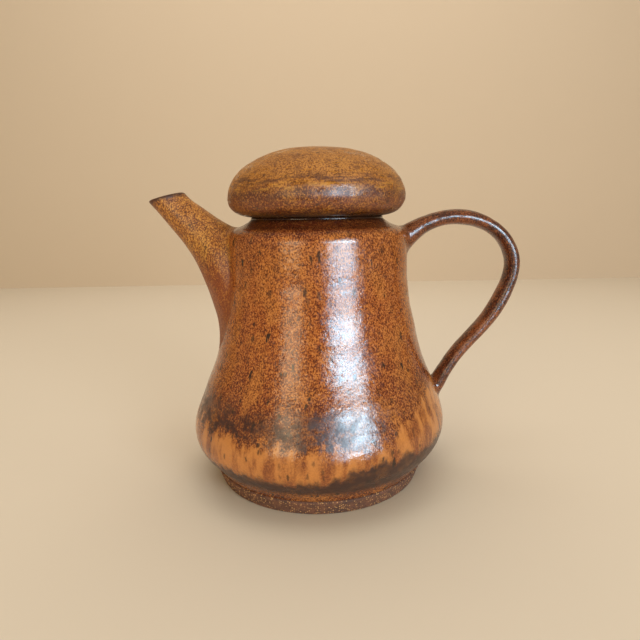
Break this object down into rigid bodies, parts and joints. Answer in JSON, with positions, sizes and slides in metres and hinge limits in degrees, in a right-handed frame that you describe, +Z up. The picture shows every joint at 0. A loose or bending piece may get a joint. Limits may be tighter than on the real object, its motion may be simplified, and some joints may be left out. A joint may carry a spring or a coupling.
{
  "type": "teapot infuser",
  "caption": "Thrown stoneware teapot with a flared spout, strap loop handle and domed lid, holding a lift-out perforated steel infuser basket with a folding bail.",
  "frame": {"origin": "centre of the foot's resting face, on the pot's turning axis", "axes": "+Z up along the pot's turning axis; the spout points to -X and the handle to +X; Y runs across"},
  "size_m": [0.2115, 0.1482, 0.1874],
  "materials": {
    "glaze_body": "satin-gloss iron-speckled rust brown stoneware glaze",
    "glaze_lid": "satin iron-speckled ochre brown stoneware glaze",
    "glaze_spout": "satin orange-tan stoneware glaze",
    "glaze_handle": "glossy dark purple-brown stoneware glaze",
    "bare_clay": "unglazed grogged stoneware",
    "basket_steel": "satin stainless sheet",
    "bail_wire": "polished stainless wire"
  },
  "bodies": {
    "pot": {"pot_floor": "glaze_body", "pot_wall": "glaze_body", "pot_shoulder": "glaze_body", "foot_ring": "bare_clay", "spout": "glaze_spout", "handle": "glaze_handle"},
    "infuser": {"infuser_rim": "basket_steel", "infuser_wall_1": "basket_steel", "infuser_wall_2": "basket_steel", "infuser_wall_3": "basket_steel", "infuser_wall_4": "basket_steel", "infuser_wall_5": "basket_steel", "infuser_wall_6": "basket_steel", "infuser_wall_7": "basket_steel", "infuser_wall_8": "basket_steel", "infuser_base": "basket_steel", "infuser_base_band": "basket_steel", "infuser_seam": "basket_steel", "bail_lug_front": "basket_steel", "bail_lug_back": "basket_steel"},
    "bail": {"bail": "bail_wire"},
    "lid": {"lid_cap": "glaze_lid", "lid_flange": "bare_clay"}
  },
  "joints": [
    {"name": "infuser_lift", "type": "slide", "parent": "pot", "child": "infuser", "axis": [0, 0, 1], "range_m": [0, 0.12]},
    {"name": "lid_lift", "type": "slide", "parent": "infuser", "child": "lid", "axis": [0, 0, 1], "range_m": [0, 0.08]},
    {"name": "bail_swing", "type": "hinge", "parent": "infuser", "child": "bail", "pos_m": [0, 0, 0.1444], "axis": [0, -1, 0], "range_deg": [0, 180]}
  ]
}
